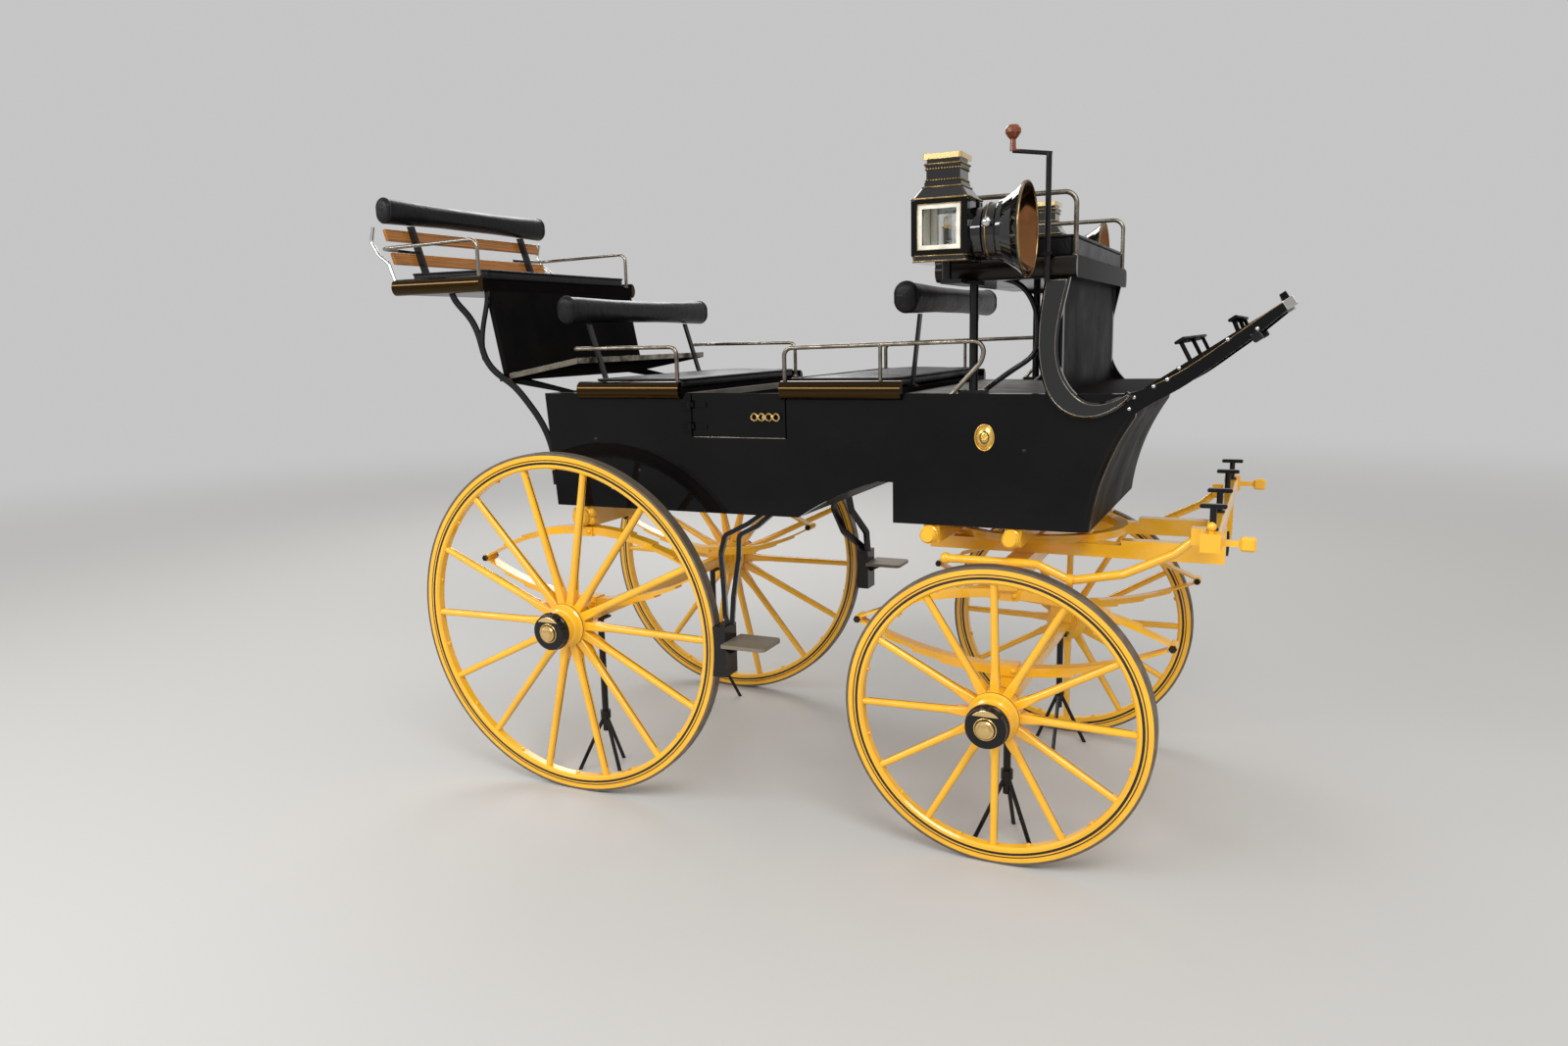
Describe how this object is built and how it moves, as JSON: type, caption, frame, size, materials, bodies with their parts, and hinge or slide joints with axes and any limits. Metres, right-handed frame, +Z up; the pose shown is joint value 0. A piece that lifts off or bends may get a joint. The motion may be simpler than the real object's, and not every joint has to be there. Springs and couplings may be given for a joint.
{
  "type": "horse drawn carriage",
  "caption": "Horse drawn shooting carriage: high hull with two facing benches, raised rear seat, driver's box seat, lamps and cut-under steering forecarriage on sprung wooden wheels.",
  "frame": {"origin": "on the floor, under the middle of the carriage's overall box", "axes": "+X forward, +Y to the carriage's left, +Z up"},
  "size_m": [3.1652, 1.562, 2.153],
  "materials": {
    "tyre": "worn steel-shod tyre, matt",
    "yellow_wood": "coach yellow paint with dark lines, gloss varnish",
    "yellow_iron": "coach yellow paint on iron, gloss varnish",
    "hub_black": "gloss black with a brass nose",
    "black_varnish": "coach black, deep gloss varnish",
    "black_leather": "black leather, semi-gloss",
    "black_iron": "black enamel on iron",
    "lamp_black": "gloss black with brass mouldings",
    "lamp_glass": "clear bevelled glass",
    "oiled_wood": "varnished wood"
  },
  "bodies": {
    "carriage": {"body_transoms": "yellow_wood", "brake_crank": "oiled_wood", "driver_cushion": "black_leather", "driver_irons": "black_iron", "driver_rail": "black_iron", "driver_riser": "black_varnish", "driver_seat": "black_varnish", "footboard": "black_varnish", "groom_boards": "black_varnish", "hull_deck": "black_varnish", "hull_floor": "black_varnish", "hull_panels": "black_varnish", "hull_side_left": "black_varnish", "hull_side_right": "black_varnish", "lamp_glass": "lamp_glass", "lamp_left": "lamp_black", "lamp_right": "lamp_black", "lower_rails": "black_iron", "rear_axle": "yellow_iron", "rear_cushion": "black_leather", "rear_irons": "black_iron", "rear_roll": "black_leather", "rear_seat": "black_varnish", "rear_slats": "oiled_wood", "rear_springs": "yellow_iron", "rear_stands": "black_iron", "riser_wings": "black_varnish", "roll_irons": "black_iron", "seat_stays": "black_iron", "second_cushion": "black_leather", "second_roll": "black_leather", "second_seat": "black_varnish", "steps": "black_iron", "third_cushion": "black_leather", "third_roll": "black_leather", "third_seat": "black_varnish", "turntable_upper": "yellow_iron"},
    "forecarriage": {"front_axle": "yellow_iron", "front_springs": "yellow_iron", "front_stands": "black_iron", "front_bolster": "yellow_wood", "turntable_lower": "yellow_wood", "wheel_irons": "yellow_iron", "splinter_bar": "yellow_wood", "pole_socket": "black_iron", "roller_bolts": "black_iron"},
    "left_door": {"door_left": "black_varnish"},
    "right_door": {"door_right": "black_varnish"},
    "rear_wheel_left_body": {"rear_tyre_left": "tyre", "rear_wheel_left": "yellow_wood", "rear_hub_cap_left": "hub_black"},
    "rear_wheel_right_body": {"rear_tyre_right": "tyre", "rear_wheel_right": "yellow_wood", "rear_hub_cap_right": "hub_black"},
    "front_wheel_left_body": {"front_tyre_left": "tyre", "front_wheel_left": "yellow_wood", "front_hub_cap_left": "hub_black"},
    "front_wheel_right_body": {"front_tyre_right": "tyre", "front_wheel_right": "yellow_wood", "front_hub_cap_right": "hub_black"}
  },
  "joints": [
    {"name": "steering", "type": "hinge", "parent": "carriage", "child": "forecarriage", "pos_m": [0.83257, 0, 0.9], "axis": [0, 0, 1], "range_deg": [-75, 75]},
    {"name": "left_door_hinge", "type": "hinge", "parent": "carriage", "child": "left_door", "pos_m": [-0.22922, 0.5, 1.337], "axis": [0, 0, 1], "range_deg": [0, 100]},
    {"name": "right_door_hinge", "type": "hinge", "parent": "carriage", "child": "right_door", "pos_m": [-0.22922, -0.5, 1.337], "axis": [0, 0, -1], "range_deg": [0, 100]},
    {"name": "rear_left_wheel_spin", "type": "hinge", "parent": "carriage", "child": "rear_wheel_left_body", "pos_m": [-0.67943, 0.641, 0.61029], "axis": [0, 0.9993, -0.0366], "continuous": true},
    {"name": "rear_right_wheel_spin", "type": "hinge", "parent": "carriage", "child": "rear_wheel_right_body", "pos_m": [-0.67943, -0.641, 0.61029], "axis": [0, -0.9993, -0.0366], "continuous": true},
    {"name": "front_left_wheel_spin", "type": "hinge", "parent": "forecarriage", "child": "front_wheel_left_body", "pos_m": [0.83257, 0.612, 0.46388], "axis": [0, 0.9993, -0.0366], "continuous": true},
    {"name": "front_right_wheel_spin", "type": "hinge", "parent": "forecarriage", "child": "front_wheel_right_body", "pos_m": [0.83257, -0.612, 0.46388], "axis": [0, -0.9993, -0.0366], "continuous": true}
  ]
}
